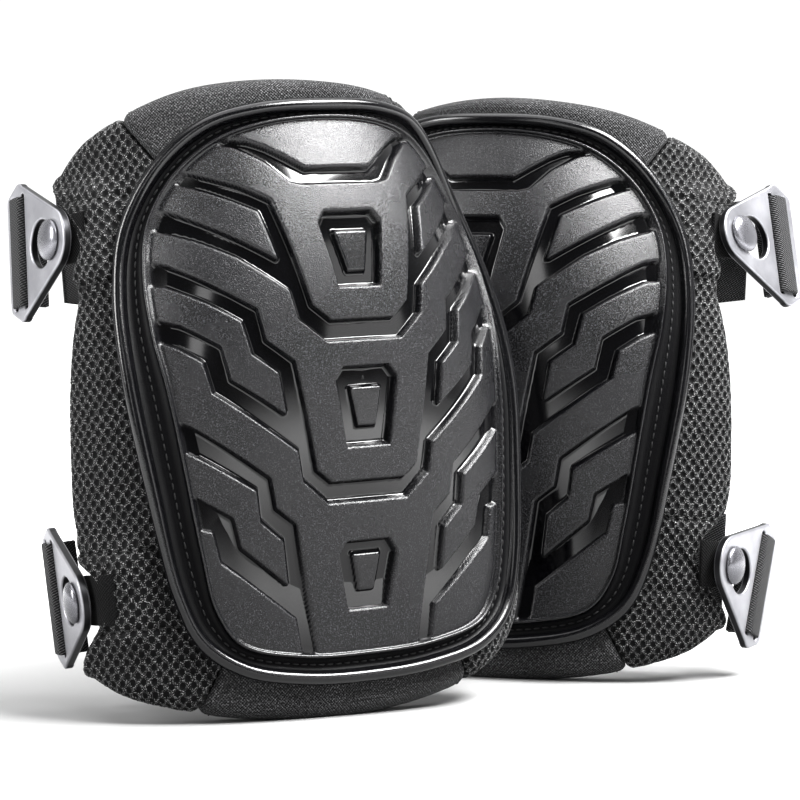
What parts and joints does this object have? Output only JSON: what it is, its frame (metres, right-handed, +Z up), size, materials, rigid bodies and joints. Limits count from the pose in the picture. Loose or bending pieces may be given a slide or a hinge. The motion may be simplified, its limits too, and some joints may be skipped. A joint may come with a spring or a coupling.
{
  "type": "knee pads",
  "caption": "Pair of gel knee pads: ribbed moulded caps on padded wrap-round bodies, with elastic straps held by keyhole clips on domed studs.",
  "frame": {"origin": "on the floor, at the middle of the pair's box seen from above", "axes": "+Z up, +X to the right across the pair seen from the front, and the domed caps face -Y"},
  "size_m": [0.3252, 0.2346, 0.2428],
  "materials": {
    "cap": "moulded black plastic, satin grain on the ribs and gloss in the grooves",
    "oxford": "black woven nylon",
    "air_mesh": "black open knitted spacer mesh",
    "foam": "closed-cell foam",
    "gel": "soft gel",
    "lining": "brushed knit lining",
    "clip": "satin grey moulded plastic",
    "stud": "satin grey moulded plastic",
    "rivet": "plain",
    "webbing": "black woven elastic",
    "hook_tape": "black hook tape"
  },
  "bodies": {
    "root": {"left_cap": "cap", "left_cap_filler": "foam", "left_upper_panel": "oxford", "left_lower_panel": "oxford", "left_inner_wing": "air_mesh", "left_outer_wing": "air_mesh", "left_foam_core": "foam", "left_gel_insert": "gel", "left_lining": "lining", "left_upper_tab": "webbing", "left_upper_stud_back": "rivet", "left_upper_strap": "webbing", "left_upper_hook_patch": "hook_tape", "left_lower_tab": "webbing", "left_lower_stud_back": "rivet", "left_lower_strap": "webbing", "left_lower_hook_patch": "hook_tape"},
    "right_pad": {"right_cap": "cap", "right_cap_filler": "foam", "right_upper_panel": "oxford", "right_lower_panel": "oxford", "right_inner_wing": "air_mesh", "right_outer_wing": "air_mesh", "right_foam_core": "foam", "right_gel_insert": "gel", "right_lining": "lining", "right_upper_tab": "webbing", "right_upper_stud_back": "rivet", "right_upper_strap": "webbing", "right_upper_hook_patch": "hook_tape", "right_lower_tab": "webbing", "right_lower_stud_back": "rivet", "right_lower_strap": "webbing", "right_lower_hook_patch": "hook_tape"},
    "left_upper_stud": {"left_upper_stud": "stud"},
    "left_upper_clip": {"left_upper_clip": "clip", "left_upper_strap_end": "webbing"},
    "left_lower_stud": {"left_lower_stud": "stud"},
    "left_lower_clip": {"left_lower_clip": "clip", "left_lower_strap_end": "webbing"},
    "right_upper_stud": {"right_upper_stud": "stud"},
    "right_upper_clip": {"right_upper_clip": "clip", "right_upper_strap_end": "webbing"},
    "right_lower_stud": {"right_lower_stud": "stud"},
    "right_lower_clip": {"right_lower_clip": "clip", "right_lower_strap_end": "webbing"}
  },
  "joints": [
    {"name": "right_pad_apart", "type": "slide", "parent": "root", "child": "right_pad", "axis": [1, 0, 0], "range_m": [0, 0.25]},
    {"name": "left_upper_clip_swivel", "type": "hinge", "parent": "root", "child": "left_upper_stud", "pos_m": [-0.14148, -0.07265, 0.18064], "axis": [-0.8559, -0.5154, 0.0418], "range_deg": [-12, 12], "stiffness_Nm_per_rad": 0.3},
    {"name": "left_upper_clip_unhook", "type": "slide", "parent": "left_upper_stud", "child": "left_upper_clip", "axis": [0.514, -0.8389, 0.1793], "range_m": [0, 0.008], "stiffness_N_per_m": 250},
    {"name": "left_lower_clip_swivel", "type": "hinge", "parent": "root", "child": "left_lower_stud", "pos_m": [-0.13015, -0.09574, 0.04438], "axis": [-0.9292, -0.3506, -0.1172], "range_deg": [-12, 12], "stiffness_Nm_per_rad": 0.3},
    {"name": "left_lower_clip_unhook", "type": "slide", "parent": "left_lower_stud", "child": "left_lower_clip", "axis": [0.3477, -0.9365, 0.045], "range_m": [0, 0.008], "stiffness_N_per_m": 250},
    {"name": "right_upper_clip_swivel", "type": "hinge", "parent": "right_pad", "child": "right_upper_stud", "pos_m": [0.13467, 0.04948, 0.18476], "axis": [0.7295, -0.6272, 0.2729], "range_deg": [-12, 12], "stiffness_Nm_per_rad": 0.3},
    {"name": "right_upper_clip_unhook", "type": "slide", "parent": "right_upper_stud", "child": "right_upper_clip", "axis": [-0.6772, -0.7184, 0.1592], "range_m": [0, 0.008], "stiffness_N_per_m": 250},
    {"name": "right_lower_clip_swivel", "type": "hinge", "parent": "right_pad", "child": "right_lower_stud", "pos_m": [0.12855, 0.02041, 0.04824], "axis": [0.8602, -0.51, -0.0027], "range_deg": [-12, 12], "stiffness_Nm_per_rad": 0.3},
    {"name": "right_lower_clip_unhook", "type": "slide", "parent": "right_lower_stud", "child": "right_lower_clip", "axis": [-0.4709, -0.7962, 0.3799], "range_m": [0, 0.008], "stiffness_N_per_m": 250}
  ]
}
